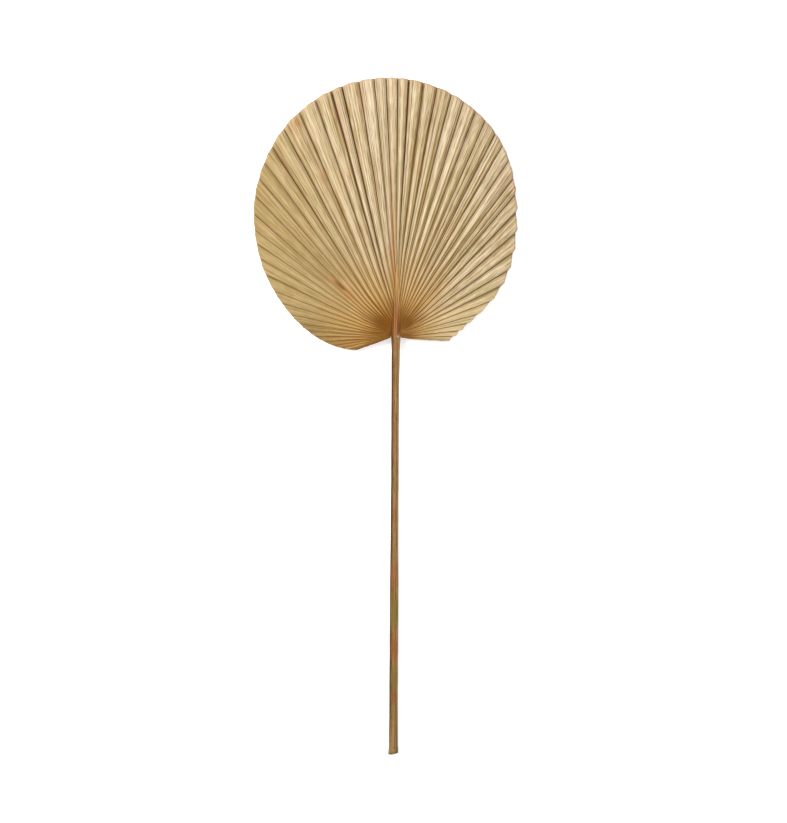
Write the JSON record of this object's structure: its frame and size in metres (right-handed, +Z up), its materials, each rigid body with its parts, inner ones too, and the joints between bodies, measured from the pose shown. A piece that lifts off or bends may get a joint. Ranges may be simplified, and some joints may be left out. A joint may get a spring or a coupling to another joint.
{
  "type": "dried fan palm leaf",
  "caption": "Dried fan palm leaf with a round pleated straw-coloured blade and a long brown stalk, cut for display and lying on its back.",
  "frame": {"origin": "on the surface that the leaf lies on, under the middle of its box", "axes": "+Z up out of the leaf's upper face, +Y along the stalk from its cut foot to the tip of the blade, +X to the right as seen from above"},
  "size_m": [0.3928, 1.0014, 0.0229],
  "materials": {
    "straw": "matte",
    "stalk": "matte"
  },
  "bodies": {
    "root": {"blade": "straw", "stalk": "stalk"}
  },
  "joints": []
}
